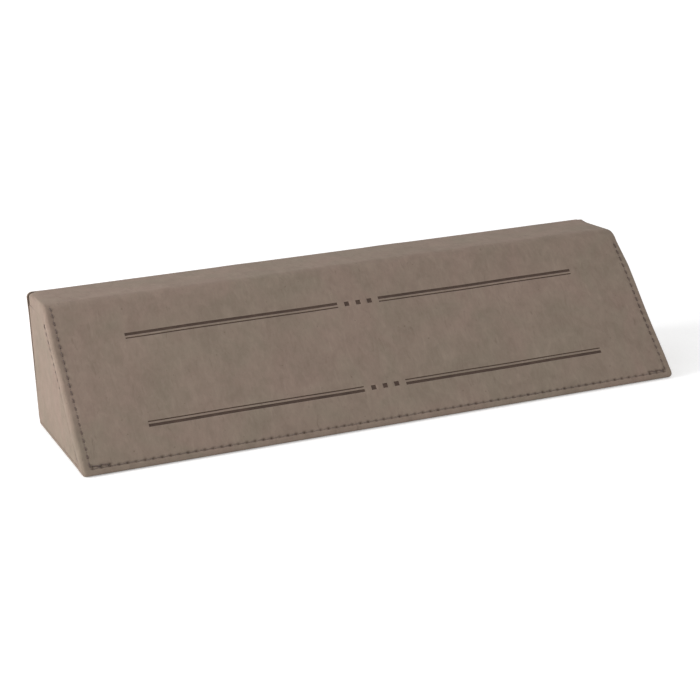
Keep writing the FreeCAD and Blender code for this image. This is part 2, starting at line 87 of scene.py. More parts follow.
# %% [markdown]
# ## The sizes
#
# These are the same values as in the CAD source, but the skin is 0.05 mm thinner, so that its
# inside stays clear of the board. The section of the wedge has four sides: the base, the slope of
# the face, the flat top and the upright back. Everything on the face is placed by two numbers: x
# along the plate, and v up the slope from the sharp toe corner.

# %% Sizes of the wedge and of its sewing
HALF, HEIGHT, DEPTH, TOP_STRIP = 127.0, 56.0, 80.0, 31.0
TOE_R, SHOULDER_R, FOLD_R, RIM_R = 1.5, 9.0, 1.2, 1.4
SKIN, MARGIN, PANEL = 0.95, 5.2, 2.0
SLOPE = math.atan2(HEIGHT, DEPTH - TOP_STRIP)
TOE_Y = -(DEPTH + TOE_R * (1 / math.tan(SLOPE / 2) - 1)) / 2
BACK_Y = TOE_Y + DEPTH - PANEL
SLOPE_LENGTH = HEIGHT / math.sin(SLOPE)
PITCH = 3.37
ALONG = np.array((0.0, math.cos(SLOPE), math.sin(SLOPE)))
OUT = np.array((0.0, -math.sin(SLOPE), math.cos(SLOPE)))
TOE = np.array((0.0, TOE_Y, 0.0))


def on_face(x, v, out=0.0):
    """Return the point at x and v on the face, out of it by a distance."""
    return np.array((x, 0.0, 0.0)) + TOE + ALONG * v + OUT * out


print(f"Slope {math.degrees(SLOPE):.2f} degrees, {SLOPE_LENGTH:.2f} mm long")

# %% [markdown]
# ## Leatherette
#
# The leatherette is a brushed synthetic nubuck. It is matt, and its colour drifts between a
# pinkish taupe and a greener grey, with cloudy patches, short brushed fibres and a few specks.
# An image could show all of that, but it would stretch round the folds and repeat. Noise in
# object space has neither fault: each layer below is one noise with its own size in millimetres,
# and all the pieces share it, so the cover reads as one hide. One attribute comes from the mesh:
# it is painted shade, dark at the needle holes and in the crevices where the end covers turn
# down against the panels and where the panels lie against the box.

# %% Colours and nodes
def tint(red, green, blue):
    """Return an sRGB colour, as an eyedropper reads it, as the linear one that nodes take."""
    linear = [
        c / 12.92 if c <= 0.04045 else ((c + 0.055) / 1.055) ** 2.4
        for c in (red / 255, green / 255, blue / 255)
    ]
    return (*linear, 1.0)


def feed(tree, made, inputs):
    """Give a node its inputs: links from other nodes' sockets, and plain values."""
    for name, value in inputs.items():
        if isinstance(value, bpy.types.NodeSocket):
            tree.links.new(value, made.inputs[name])
        else:
            made.inputs[name].default_value = value


def add_node(tree, kind, inputs=None, **settings):
    """Add a node to a tree, with its settings and its inputs."""
    made = tree.nodes.new(kind)
    for name, value in settings.items():
        setattr(made, name, value)
    feed(tree, made, inputs or {})
    return made


print("A taupe of 133, 118, 106 is", [round(c, 3) for c in tint(133, 118, 106)], "in a node")


# %% A short way to write materials
class Finish:
    """A material, whose nodes are added one call at a time."""

    def __init__(self, name):
        self.material = bpy.data.materials.new(name)
        self.material.use_nodes = True
        self.tree = self.material.node_tree
        self.surface = self.tree.nodes["Principled BSDF"]
        self.place = self.add("ShaderNodeTexCoord").outputs["Object"]

    def add(self, kind, inputs=None, **settings):
        return add_node(self.tree, kind, inputs, **settings)

    def show(self, inputs):
        """Give the surface its inputs, and return the finished material."""
        feed(self.tree, self.surface, inputs)
        return self.material

    def noise(self, size, detail=2.0, rough=0.5, warp=0.0, stretch=(1, 1, 1), turn=(0, 0, 0)):
        """A noise whose patches are about size millimetres across."""
        where = self.add(
            "ShaderNodeMapping",
            {"Vector": self.place, "Scale": [1 / s for s in stretch], "Rotation": turn},
        ).outputs[0]
        return self.add(
            "ShaderNodeTexNoise",
            {"Vector": where, "Scale": 1 / (size * MM), "Detail": detail,
             "Roughness": rough, "Distortion": warp},
        ).outputs["Fac"]

    def spread(self, value, low, high, to_low=0.0, to_high=1.0):
        """Stretch the part of a value from low to high."""
        return self.add(
            "ShaderNodeMapRange",
            {"Value": value, "From Min": low, "From Max": high,
             "To Min": to_low, "To Max": to_high},
        ).outputs[0]

    def blend(self, share, first, second, way="MIX"):
        """Mix two colours: the second one by its share."""
        mixed = self.add("ShaderNodeMix", {0: share, 6: first, 7: second}, data_type="RGBA",
                         blend_type=way)
        return mixed.outputs[2]

    def combine(self, way, first, second):
        return self.add("ShaderNodeMath", {0: first, 1: second}, operation=way).outputs[0]

    def bump(self, height, depth, strength=1.0, under=None):
        """Raise the surface by height times depth millimetres, on top of another bump."""
        inputs = {"Height": height, "Distance": depth * MM, "Strength": strength}
        if under is not None:
            inputs["Normal"] = under
        return self.add("ShaderNodeBump", inputs).outputs[0]


print("Finish helper ready")

# %% The leatherette and its engraved layer
def make_leatherette(name, dye, roughness=0.84, sheen=0.1):
    """Nubuck leatherette: a dye that drifts in large clouds and small ones, and its fibres."""
    f = Finish(name)
    drift = f.spread(f.noise(30, 3, 0.55, 1.0), 0.36, 0.64)
    cloud = f.spread(f.noise(11, 5, 0.62, 0.8), 0.3, 0.7)
    mottle = f.spread(f.noise(4.0, 4, 0.62, 0.6, (1, 1.6, 1.6)), 0.32, 0.7)
    colour = f.blend(drift, tint(138, 119, 108), tint(129, 118, 104))
    colour = f.blend(0.4, colour, dye)
    colour = f.blend(f.spread(cloud, 0.5, 1.0, 0.0, 0.26), colour, tint(150, 135, 122))
    colour = f.blend(f.spread(cloud, 0.5, 0.0, 0.0, 0.24), colour, tint(112, 97, 86))
    colour = f.blend(f.spread(mottle, 0.5, 1.0, 0.0, 0.2), colour, tint(151, 136, 123))
    colour = f.blend(f.spread(mottle, 0.5, 0.0, 0.0, 0.2), colour, tint(110, 95, 84))
    fibre = f.noise(1.0, 4, 0.7, 0.4, (1, 2.6, 2.6))
    pale_fibre = f.blend(fibre, (0.3, 0.3, 0.3, 1), (0.7, 0.7, 0.7, 1))
    colour = f.blend(0.4, colour, pale_fibre, "SOFT_LIGHT")
    brushed = f.spread(f.noise(2.4, 3, 0.6, 0.5, (1, 4, 4)), 0.58, 0.78, 0.0, 0.26)
    colour = f.blend(brushed, colour, tint(158, 143, 130))
    scuff = f.spread(f.noise(1.9, 2, 0.5, 0.8, (1, 3.5, 3.5)), 0.66, 0.78, 0.0, 0.34)
    colour = f.blend(scuff, colour, tint(98, 83, 73))
    specks = f.spread(f.noise(1.2, 1, 0.4), 0.76, 0.82, 0.0, 0.45)
    colour = f.blend(specks, colour, tint(88, 73, 64))
    # Painted shade from the mesh: darker at the needle holes and in the crevices beside the panels.
    painted_shade = f.add("ShaderNodeAttribute", attribute_name="painted_shade").outputs["Fac"]
    colour = f.blend(painted_shade, colour, tint(58, 45, 39))
    grain = f.noise(0.34, 3, 0.65)
    pebble = f.noise(1.5, 2, 0.5)
    normal = f.bump(pebble, 0.06, 0.5)
    normal = f.bump(grain, 0.06, 0.55, normal)
    normal = f.bump(fibre, 0.05, 0.4, normal)
    rough = f.spread(cloud, 0.0, 1.0, roughness - 0.06, roughness + 0.08)
    return f.show({"Base Color": colour, "Roughness": rough, "Normal": normal,
                   "Sheen Weight": sheen, "Sheen Roughness": 0.45,
                   "Sheen Tint": tint(226, 209, 197), "Specular IOR Level": 0.14})


def make_engraved(name):
    """The dark layer that a laser leaves: burnt fibres, a little glossier in its hollows."""
    f = Finish(name)
    patch = f.spread(f.noise(4, 3, 0.6), 0.3, 0.7)
    colour = f.blend(patch, tint(66, 52, 45), tint(80, 64, 55))
    char = f.noise(0.45, 3, 0.7)
    colour = f.blend(f.spread(char, 0.45, 0.75, 0.0, 0.5), colour, tint(50, 39, 34))
    normal = f.bump(char, 0.08, 0.6)
    return f.show({"Base Color": colour, "Normal": normal,
                   "Roughness": f.spread(char, 0.2, 0.8, 0.72, 0.9), "Specular IOR Level": 0.3})


leatherette = make_leatherette("nubuck_leatherette", tint(133, 118, 106))
engraved = make_engraved("burnt_leatherette")
print("Made", leatherette.name, "and", engraved.name)

# %% [markdown]
# ## Thread, board, card and foam
#
# The thread is a twisted polyester. Its plies are painted along two attributes that the stitches
# carry, how far along the strand and how far round it. The greyboard is recycled pulp with dark
# and pale flecks, the card is smoother, and the foam has open cells.

# %% The other materials
PLY_TURNS = 5.0


def make_thread(name, light, dark):
    """Twisted thread, with painted shade between its plies and where it dives into the holes."""
    f = Finish(name)
    along = f.add("ShaderNodeAttribute", attribute_name="strand_along").outputs["Fac"]
    around = f.add("ShaderNodeAttribute", attribute_name="strand_around").outputs["Fac"]
    turn = f.combine("ADD", f.combine("MULTIPLY", along, PLY_TURNS), around)
    ply = f.combine("ABSOLUTE", f.combine("SINE", f.combine("MULTIPLY", turn, math.tau), 0.0), 0.0)
    fuzz = f.noise(0.25, 2, 0.6)
    # Painted shade: the grooves between the plies are darker, the crests lighter.
    colour = f.blend(f.spread(ply, 0.0, 0.8), dark, light)
    colour = f.blend(f.spread(fuzz, 0.4, 0.8, 0.0, 0.35), colour, dark)
    # Painted shade: the ends are darker, where the strand dives into its holes.
    to_end = f.combine("ABSOLUTE", f.combine("SUBTRACT", along, 0.5), 0.0)
    colour = f.blend(f.spread(to_end, 0.24, 0.42, 0.0, 0.85), colour, tint(46, 35, 31))
    normal = f.bump(fuzz, 0.03, 0.5, f.bump(ply, 0.06, 0.7))
    return f.show({"Base Color": colour, "Normal": normal, "Sheen Weight": 0.15,
                   "Roughness": f.spread(fuzz, 0.2, 0.8, 0.55, 0.75)})


def make_board(name, body, fleck, size):
    """Board or card: a body colour with dark flecks and pale ones, of a size in millimetres."""
    f = Finish(name)
    cloud = f.spread(f.noise(12, 4, 0.6), 0.3, 0.7)
    flecks = f.noise(size, 2, 0.5, 0.5, (2.5, 1, 1), (0.3, 0.2, 0.6))
    colour = f.blend(f.combine("MULTIPLY", cloud, 0.25), body, fleck)
    colour = f.blend(f.spread(flecks, 0.62, 0.74, 0.0, 0.6), colour, fleck)
    colour = f.blend(f.spread(flecks, 0.36, 0.26, 0.0, 0.4), colour, tint(196, 190, 180))
    return f.show({"Base Color": colour, "Normal": f.bump(flecks, 0.08, 0.5),
                   "Roughness": f.spread(cloud, 0.0, 1.0, 0.84, 0.95)})


def make_foam(name):
    """Open-cell foam: pale walls, with painted shade in the hollows of the cells."""
    f = Finish(name)
    cells = f.add("ShaderNodeTexVoronoi", {"Vector": f.place, "Scale": 1 / (0.7 * MM)}).outputs[0]
    walls = f.spread(cells, 0.1, 0.6)
    # Painted shade: the hollows of the cells, away from the walls, are darker.
    colour = f.blend(walls, tint(120, 116, 108), tint(206, 202, 192))
    return f.show({"Base Color": colour, "Normal": f.bump(walls, 0.2, 0.7),
                   "Roughness": f.spread(walls, 0.0, 1.0, 0.95, 0.8)})


dark_thread = make_thread("dark_brown_thread", tint(92, 73, 63), tint(62, 48, 41))
# The bottom row's thread is a lit copy of the dark brown one: its paler colours are painted light,
# where the light from the front catches it.
lit_thread = make_thread("lit_brown_thread", tint(112, 96, 85), tint(86, 71, 62))
tonal_thread = make_thread("taupe_thread", tint(124, 108, 96), tint(94, 80, 70))
greyboard = make_board("pulp_greyboard", tint(150, 146, 138), tint(104, 98, 90), 0.9)
card = make_board("stiff_card", tint(176, 168, 154), tint(140, 130, 116), 0.5)
foam = make_foam("open_cell_foam")
print("Made thread, board, card and foam")

# %% [markdown]
# ## How a sheet is made
#
# Every cover here is a thin sheet that bends round edges. It could be a surface with a Solidify
# modifier, but the fine grid that the puckered stitches need would then be made twice, once for
# the side that nobody sees. So a sheet is one grid of points with an outer place and an inner
# place. The outer side uses every cell, and the inner side joins cells into large blocks. The
# rim between them closes the sheet.

# %% A closed sheet from a grid
def sheet_mesh(name, outer, inner, cells, rows, columns, closed=False, marks=None, painted_shade=None):
    """Return an object: a closed sheet from a grid of outer and inner points, in millimetres.

    cells says which cells of the grid the sheet has, and rows and columns are the grid lines
    that the inner side keeps. closed joins the last column to the first, and fills the middle
    that the first row goes round. marks gives a material index for each cell of the outer side,
    and the last argument gives each outer point its share of painted shade.
    """
    high, wide = outer.shape[:2]
    across = wide if closed else wide - 1
    used = {}
    faces, slots = [], []
    for i in range(high - 1):
        for j in range(across):
            if not cells[i][j]:
                continue
            k = (j + 1) % wide
            loop = ((i, j), (i, k), (i + 1, k), (i + 1, j))
            faces.append([(0, p) for p in loop])
            slots.append(0 if marks is None else int(marks[i][j]))
            for edge in zip(loop, loop[1:] + loop[:1]):
                if edge[::-1] in used:
                    del used[edge[::-1]]
                else:
                    used[edge] = True
    rim = set()
    if closed:
        faces.append([(0, (0, j)) for j in range(wide - 1, -1, -1)])
        faces.append([(1, (0, j)) for j in range(wide)])
        slots += [0, 0]
        used = {edge: True for edge in used if edge[0][0] + edge[1][0]}
    for a, b in used:
        rim.update((a, b))
        faces.append([(0, b), (0, a), (1, a), (1, b)])
        slots.append(0)
    for top, bottom in zip(rows, rows[1:]):
        for first, last in zip(columns, columns[1:]):
            if not cells[top][first]:
                continue
            walk = [(top, j) for j in range(first, last)]
            walk += [(i, last) for i in range(top, bottom)]
            walk += [(bottom, j) for j in range(last, first, -1)]
            walk += [(i, first) for i in range(bottom, top, -1)]
            corners = {(top, first), (top, last), (bottom, last), (bottom, first)}
            loop = [(i, j % wide) for i, j in walk if (i, j) in corners or (i, j % wide) in rim]
            faces.append([(1, p) for p in loop[::-1]])
            slots.append(0)
    sides = (outer, inner)
    order, points = {}, []
    for face in faces:
        for key in face:
            if key not in order:
                order[key] = len(points)
                points.append(sides[key[0]][key[1]] * MM)
    mesh = bpy.data.meshes.new(name)
    mesh.from_pydata([p.tolist() for p in points], [], [[order[k] for k in face] for face in faces])
    mesh.polygons.foreach_set("material_index", slots)
    mesh.polygons.foreach_set("use_smooth", [True] * len(faces))
    # The painted shade of the outer points is kept as an attribute, for the leatherette to darken.
    if painted_shade is not None:
        shares = [0.0 if side else float(painted_shade[p]) for side, p in order]
        mesh.attributes.new("painted_shade", "FLOAT", "POINT").data.foreach_set("value", shares)
    mesh.update()
    made = bpy.data.objects.new(name, mesh)
    bpy.context.collection.objects.link(made)
    return made


print("Sheet helper ready")

# %% [markdown]
# ## What the sewing does to the surface
#
# A lockstitch pulls the leatherette down on to the foam. Each row lies in a soft channel, and the
# needle leaves a small pit between two stitches. Both are real shape, so they catch the light
# from any side. Hand-stretched material is also never quite flat, and a slow wave shows that.
#
# The rows on the face are written on the flat cover, as it was before it was bent: x along the
# plate and s up the face, which goes on round the shoulder. A row stays straight there. The left
# row has two stitches more than the right one, and they go round the shoulder.

# %% Rows of stitches, and their pull
def row(start, direction, count):
    """A row: its first needle hole, its direction and how many stitches it has."""
    return {"start": np.array(start, float), "direction": np.array(direction, float),
            "count": count}


SIDE_X, HEM_V, SIDE_V, SIDE_COUNT, ROUND_COUNT = 123.9, 4.0, 4.0, 19, 2
HEM_COUNT, TACK_V, TACK_COUNT = 73, 4.8, 2
END_V, END_COUNT = 10.885 - PITCH / 2, 18
HEM_X = HEM_COUNT * PITCH / 2
ROWS = {
    "bottom_stitch_row": row((-HEM_X, HEM_V, 0), (1, 0, 0), HEM_COUNT),
    "left_stitch_row": row((-SIDE_X, SIDE_V, 0), (0, 1, 0), SIDE_COUNT + ROUND_COUNT),
    "right_stitch_row": row((SIDE_X, SIDE_V, 0), (0, 1, 0), SIDE_COUNT),
    "left_back_tack": row((-HEM_X, TACK_V, 0), (1, 0, 0), TACK_COUNT),
    "right_back_tack": row((HEM_X, TACK_V, 0), (-1, 0, 0), TACK_COUNT),
    "left_end_stitch_row": row(on_face(-HALF, END_V, -MARGIN), ALONG, END_COUNT),
    "right_end_stitch_row": row(on_face(HALF, END_V, -MARGIN), ALONG, END_COUNT),
}


print("Rows:", {name: r["count"] for name, r in ROWS.items()})


# %% How the rows pull the cover in
def dip(distance, width):
    """A smooth dip: one on its line, nothing a few widths away."""
    return np.exp(-((distance / width) ** 2))


def near(points, name, apart=0.0):
    """How far each point is from a row, and from the nearest hole of that row.

    Where apart is given, two neighbouring stitches have holes of their own, that far apart.
    """
    r = ROWS[name]
    offset = points - r["start"]
    along = offset @ r["direction"]
    nearest = np.clip(along, 0.0, r["count"] * PITCH)[..., None] * r["direction"]
    shared = np.clip(np.round(along / PITCH), 0, r["count"]) * PITCH
    hole = (shared + np.sign(along - shared) * apart / 2)[..., None] * r["direction"]
    return np.linalg.norm(offset - nearest, axis=-1), np.linalg.norm(offset - hole, axis=-1)


def pull(points, name, channel=0.12, pit=0.3, wide=0.06, bridge=0.0):
    """How far a row of stitches pulls each point in, in millimetres.

    bridge is how much the leatherette rises again between two stitches.
    """
    aside, to_hole = near(points, name)
    sunk = channel * dip(aside, 0.45) * (1 - bridge * dip(to_hole, 0.62))
    return sunk + wide * dip(aside, 1.9) + pit * dip(to_hole, 0.42)


def holes(points, name, share=0.9, size=0.36, apart=0.0):
    """The painted shade of each point: dark at the holes of a row."""
    return share * dip(near(points, name, apart)[1], size)


def wave(points, size=0.16):
    """The slow unevenness of material stretched by hand, in millimetres."""
    x, y, z = (points[..., i] for i in range(3))
    return size * (
        np.sin(x / 17.0 + z / 9.0 + 0.6) * np.sin(y / 13.0 - x / 41.0)
        + 0.6 * np.sin(x / 7.3 - z / 11.0 + 2.1) * np.sin(z / 8.0 + x / 23.0)
    )


first_hole = ROWS["bottom_stitch_row"]["start"][None]
print(f"The bottom row's first hole is {pull(first_hole, 'bottom_stitch_row')[0]:.2f} mm deep")

# %% [markdown]
# ## The engraved rules
#
# A laser marks this leatherette dark brown. Most of the face stays free, so that its owner can
# have it marked. Two plain printer's rules, a thick line beside a thin one with three small
# squares in the middle, show how an engraving looks. They are cut into the grid as shallow
# recesses, so their edges are crisp at any distance.

# %% Lines of the rules
THICK, THIN, GAP = 1.2, 0.5, 0.8
SQUARE, SQUARES_X = 2.0, (-5.0, 0.0, 5.0)
RULE_FROM, RULE_TO, RULE_LOW, RULE_HIGH = 9.0, 98.0, 17.0, 58.0
WALL, RECESS = 0.08, 0.13


def rule_lines():
    """Return the engraved rectangles as (x from, x to, v from, v to)."""
    lines = []
    for outer, inward in ((RULE_LOW, 1), (RULE_HIGH, -1)):
        thin = outer + inward * (THICK + GAP)
        for side in (-1, 1):
            x = sorted((side * RULE_FROM, side * RULE_TO))
            lines.append((*x, *sorted((outer, outer + inward * THICK))))
            lines.append((*x, *sorted((thin, thin + inward * THIN))))
        middle = outer + inward * (THICK + GAP + THIN) / 2
        low, high = middle - SQUARE / 2, middle + SQUARE / 2
        lines += [(x - SQUARE / 2, x + SQUARE / 2, low, high) for x in SQUARES_X]
    return lines


LINES = rule_lines()


def engraving(x, v):
    """How far inside an engraved line each place is, and below nothing outside."""
    inside = np.full(np.broadcast(x, v).shape, -1.0)
    for x0, x1, v0, v1 in LINES:
        along_x, up_v = np.minimum(x - x0, x1 - x), np.minimum(v - v0, v1 - v)
        inside = np.maximum(inside, np.minimum(along_x, up_v))
    return inside


print(len(LINES), "engraved lines")

# %% [markdown]
# ## The face cover
#
# One piece of leatherette goes over the face, the shoulder and the top. It is turned under the
# toe, down the back, and round both ends. It could be sculpted, but its shape follows a rule: a
# rounded section, which moves inwards as it goes round an end. So the grid is that section, laid
# at each step along the plate.

# %% Where the rows of the grid lie
# Where grid lines lie about a needle hole, the bottom row and a side row, and their least gap.
NEAR_HOLE = (-1.1, -0.45, 0.0, 0.45, 1.1)
NEAR_HEM = (-0.9, -0.5, -0.25, 0.0, 0.25, 0.5, 0.8, 1.05, 1.3, 1.6, 2.2)
NEAR_SIDE = (-1.4, -0.9, -0.5, -0.25, 0.0, 0.25, 0.5, 0.9, 1.4, 1.8)
FINEST = 0.075


def slope_rows():
    """Where the grid's rows lie up the slope: closest at the stitches and engraved lines."""
    marks = [HEM_V + o for o in NEAR_HEM]
    for k in range(SIDE_COUNT + 1):
        marks += [SIDE_V + k * PITCH + o for o in NEAR_HOLE]
    for line in LINES:
        marks += [line[2], line[2] + WALL, line[3] - WALL, line[3]]
    return np.array(sorted(marks))


def thin_out(values, low, high, gap):
    """Keep the values between two limits that are at least gap apart."""
    kept = [low]
    for value in sorted(values):
        if value - kept[-1] >= gap and high - value >= gap:
            kept.append(float(value))
    return np.array(kept + [high])


TOE_TANGENT = TOE_R / math.tan(SLOPE / 2)
SHOULDER_TANGENT = SHOULDER_R * math.tan(SLOPE / 2)
FLAT_V = SLOPE_LENGTH - SHOULDER_TANGENT
SLOPE_V = thin_out(slope_rows(), TOE_TANGENT, FLAT_V, FINEST)
ROUND_S = FLAT_V + SHOULDER_R * SLOPE
round_marks = [SIDE_V + (SIDE_COUNT + k) * PITCH + o for k in range(5) for o in (*NEAR_HOLE, -1.7)]
SHOULDER_S = thin_out(round_marks, FLAT_V, ROUND_S, 0.2)
print(len(SLOPE_V), "rows on the slope and", len(SHOULDER_S), "round the shoulder")

# %% The section of the cover
# Where the lip under the toe starts, the square toe, and where the lip down the back ends.
LIP_Y, SQUARE_Y, SQUARE_TOP, LIP_LOW = -30.9, -30.75, 2.0, 44.0


def arc(centre, radius, start, stop, steps):
    """Return points on an arc and the directions out of it, without the first point."""
    angles = np.linspace(start, stop, steps + 1)[1:]
    out = np.stack([np.cos(angles), np.sin(angles)], -1)
    return np.array(centre) + out * radius, out


def cover_section(inset):
    """The rounded section with its slope and top moved in, as points and outward directions.

    The base and the back stay where they are. At the margin's inner edge the toe is square, to
    close the corner between the end cover and the base panel. The third result is where each part
    ends, and the last is s, the length up the face and round the shoulder.
    """
    sin, cos = math.sin(SLOPE), math.cos(SLOPE)
    corner_y = TOE_Y + inset / sin
    lip = np.array([0.0, 0.5, 0.85, 0.95, 1.0])[:, None]
    lip_from, lip_to = np.array((LIP_Y, 0.0)), np.array((corner_y + TOE_TANGENT, 0.0))
    parts = [(lip_from + (lip_to - lip_from) * lip, np.tile((0.0, -1.0), (5, 1)))]
    turn = -math.pi / 2
    first = np.array((corner_y, 0.0)) + np.array((cos, sin)) * TOE_TANGENT
    toe, toe_out = arc((lip_to[0], TOE_R), TOE_R, turn, turn - (math.pi - SLOPE), 9)
    share = np.arange(1, 10) / 9
    square = np.stack([np.interp(share, (0, 0.7, 1), (SQUARE_Y, SQUARE_Y, first[0])),
                       np.interp(share, (0, 0.7, 1), (0.0, SQUARE_TOP, first[1]))], -1)
    inner = min(1.0, max(0.0, (inset - RIM_R) / (MARGIN - RIM_R)))
    parts.append((toe * (1 - inner) + square * inner, toe_out))
    centre = np.array((TOE_Y + SLOPE_LENGTH * cos + SHOULDER_TANGENT, HEIGHT - SHOULDER_R))
    last = centre + np.array((-sin, cos)) * (SHOULDER_R - inset)
    share = (SLOPE_V[1:] - SLOPE_V[0]) / (SLOPE_V[-1] - SLOPE_V[0])
    parts.append((first + (last - first) * share[:, None], np.tile((-sin, cos), (len(share), 1))))
    turned = math.pi / 2 + SLOPE - (SHOULDER_S[1:] - FLAT_V) / SHOULDER_R
    spread = np.stack([np.cos(turned), np.sin(turned)], -1)
    parts.append((centre + spread * (SHOULDER_R - inset), spread))
    top = HEIGHT - inset
    flat = np.linspace(centre[0], BACK_Y - FOLD_R, 15)[1:]
    parts.append((np.stack([flat, np.full(len(flat), top)], -1),
                  np.tile((0.0, 1.0), (len(flat), 1))))
    parts.append(arc((BACK_Y - FOLD_R, top - FOLD_R), FOLD_R, math.pi / 2, 0.0, 6))
    down = np.linspace(top - FOLD_R, LIP_LOW, 7)[1:]
    parts.append((np.stack([np.full(len(down), BACK_Y), down], -1),
                  np.tile((1.0, 0.0), (len(down), 1))))
    counts = np.cumsum([len(p) for p, _ in parts])
    up = [np.arange(counts[1]) - counts[1] + TOE_TANGENT, SLOPE_V[1:], SHOULDER_S[1:],
          ROUND_S + flat - centre[0], ROUND_S + flat[-1] - centre[0] + np.arange(1, 13)]
    return (np.concatenate([p for p, _ in parts]), np.concatenate([n for _, n in parts]), counts,
            np.concatenate(up))


section, _, ENDS, UP = cover_section(0.0)
TOE_ROW, FACE_ROW, SHOULDER_ROW, TOP_ROW, FOLD_ROW = (int(ENDS[i]) - 1 for i in range(5))
BACK_ROW = int(ENDS[5]) - 1
print(len(section), "points in the section; it turns at rows", [int(e) - 1 for e in ENDS])


# %% The columns along the plate
def face_columns():
    """Where the columns lie along the face: closest at the needle holes."""
    marks = [s * SIDE_X + o for s in (-1, 1) for o in NEAR_SIDE]
    for k in range(HEM_COUNT + 1):
        marks += [-HEM_X + k * PITCH + o for o in NEAR_HOLE]
    for line in LINES:
        marks += [line[0], line[0] + WALL, line[1] - WALL, line[1]]
    return thin_out(marks, -HALF + RIM_R, HALF - RIM_R, FINEST)


def end_columns():
    """The margin on an end and the rim, as (x in from the end, inset, turn of the direction)."""
    steps = [(0.0, d, 90.0) for d in (MARGIN, 5.1, 4.9, 4.6, 4.1, 3.4, 2.6, 1.9)]
    for turn in np.linspace(90.0, 0.0, 8)[:-1]:
        t = math.radians(turn)
        steps.append((RIM_R * (1 - math.sin(t)), RIM_R * (1 - math.cos(t)), turn))
    return steps


FACE_X, END_STEPS = face_columns(), end_columns()
COLUMNS = [(-HALF + x, d, -turn) for x, d, turn in END_STEPS]
COLUMNS += [(x, 0.0, 0.0) for x in FACE_X]
COLUMNS += [(HALF - x, d, turn) for x, d, turn in END_STEPS[::-1]]
print(len(COLUMNS), "columns,", len(END_STEPS), "of them on each end")


# %% The grid of the cover
def cover_grid():
    """Return the cover's places and its outward directions, before any relief."""
    places, directions = [], []
    for x, inset, turn in COLUMNS:
        line, out, _, _ = cover_section(inset)
        t = math.radians(turn)
        column = np.column_stack([np.full(len(line), x), line])
        places.append(column)
        directions.append(np.column_stack([np.full(len(line), math.sin(t)), out * math.cos(t)]))
    return np.stack(places, 1), np.stack(directions, 1)


places, directions = cover_grid()
rows_high, columns_wide = places.shape[:2]
first_face, last_face = len(END_STEPS), len(COLUMNS) - len(END_STEPS) - 1
ROUND_RIM = RIM_R * (math.pi / 2 - 1)
along_x = [x + math.copysign(max(0.0, d - RIM_R + ROUND_RIM * (d > 0)), x) for x, d, _ in COLUMNS]
flat_cover = np.stack([*np.meshgrid(along_x, UP), np.zeros((rows_high, columns_wide))], -1)
row_index = np.arange(rows_high)[:, None]
print("Grid", rows_high, "by", columns_wide)

# %% [markdown]
# The lips need their own widths. Under the toe the lip is as wide as the plate. Down the back it
# is cut narrower, as a bookbinder cuts a turn-in, so that it doesn't lie double on the turn-ins
# of the ends. Two corners are worn: the leatherette lies a little lower at the right shoulder and
# at the upper back corner of the left end.

# %% The lips
TOE_LIP_X, BACK_LIP_CUT, TUCK, LEAN = HALF - 0.2, 0.075, 0.004, 0.7
WORN_SHOULDER, WORN_BACK = 0.85, 0.8
toe_share = np.clip((TOE_ROW - row_index) / 2.0, 0.0, 1.0)
places[..., 0] *= 1 + (TOE_LIP_X / (HALF - RIM_R) - 1) * toe_share
back_share = np.clip((row_index - BACK_ROW) / 3.0, 0.0, 1.0)
places[..., 0] *= 1 - BACK_LIP_CUT * back_share
places[..., 0] *= 1 - TUCK * np.clip(1 - places[..., 2] / RIM_R, 0, 1) ** 2


for lip, edge_row in (("under the toe", 0), ("down the back", -1)):
    print(f"The lip {lip} ends {-places[edge_row, first_face, 0]:.1f} mm from the middle")


# %% What the seams, the wear and the engraving do to the cover
def lean(points):
    """The left end leans in a little towards its upper back corner, as hand-glued ends do."""
    x, y, z = (points[..., i] for i in range(3))
    return LEAN * np.clip(z / HEIGHT, 0, 1) * np.clip((y + 8) / 40, 0, 1) * (x < 0)


FACE_SEAMS = ("bottom_stitch_row", "left_stitch_row", "right_stitch_row")
TACKS = ("left_back_tack", "right_back_tack")
END_SEAMS = ("left_end_stitch_row", "right_end_stitch_row")


def cover_relief(points):
    """How far the cover's outside lies in from its plain shape, in millimetres."""
    depth = -wave(points) * np.clip(points[..., 2] / 6.0, 0, 1)
    depth = depth + pull(flat_cover, FACE_SEAMS[0])
    for name in FACE_SEAMS[1:]:
        depth = depth + pull(flat_cover, name, 0.2, 0.0, bridge=1.0)
    for name in TACKS:
        depth = depth + pull(flat_cover, name, 0.08, 0.14, 0.0)
    for name in END_SEAMS:
        depth = depth + pull(points, name, 0.1, 0.14)
    up = flat_cover[..., 1]
    right = np.clip((up - FLAT_V + 14) / 14, 0, 1) * np.clip((ROUND_S + 27 - up) / 8, 0.25, 1)
    left = np.clip((up - ROUND_S - 4) / 14, 0, 1)
    depth = depth + WORN_SHOULDER * right * dip(flat_cover[..., 0] - HALF, 3.2)
    depth = depth + WORN_BACK * left * dip(flat_cover[..., 0] + HALF, 2.6)
    depth = depth + lean(points) * np.clip(-directions[..., 0], 0, 1)
    v = (points - TOE) @ ALONG
    w = (points - TOE) @ OUT
    on_slope = (np.abs(w) < 0.6) & (np.abs(points[..., 0]) < HALF - RIM_R)
    cut = np.clip(engraving(points[..., 0], v) / WALL, 0.0, 1.0) * on_slope
    return np.minimum(depth + RECESS * cut, SKIN - 0.1)


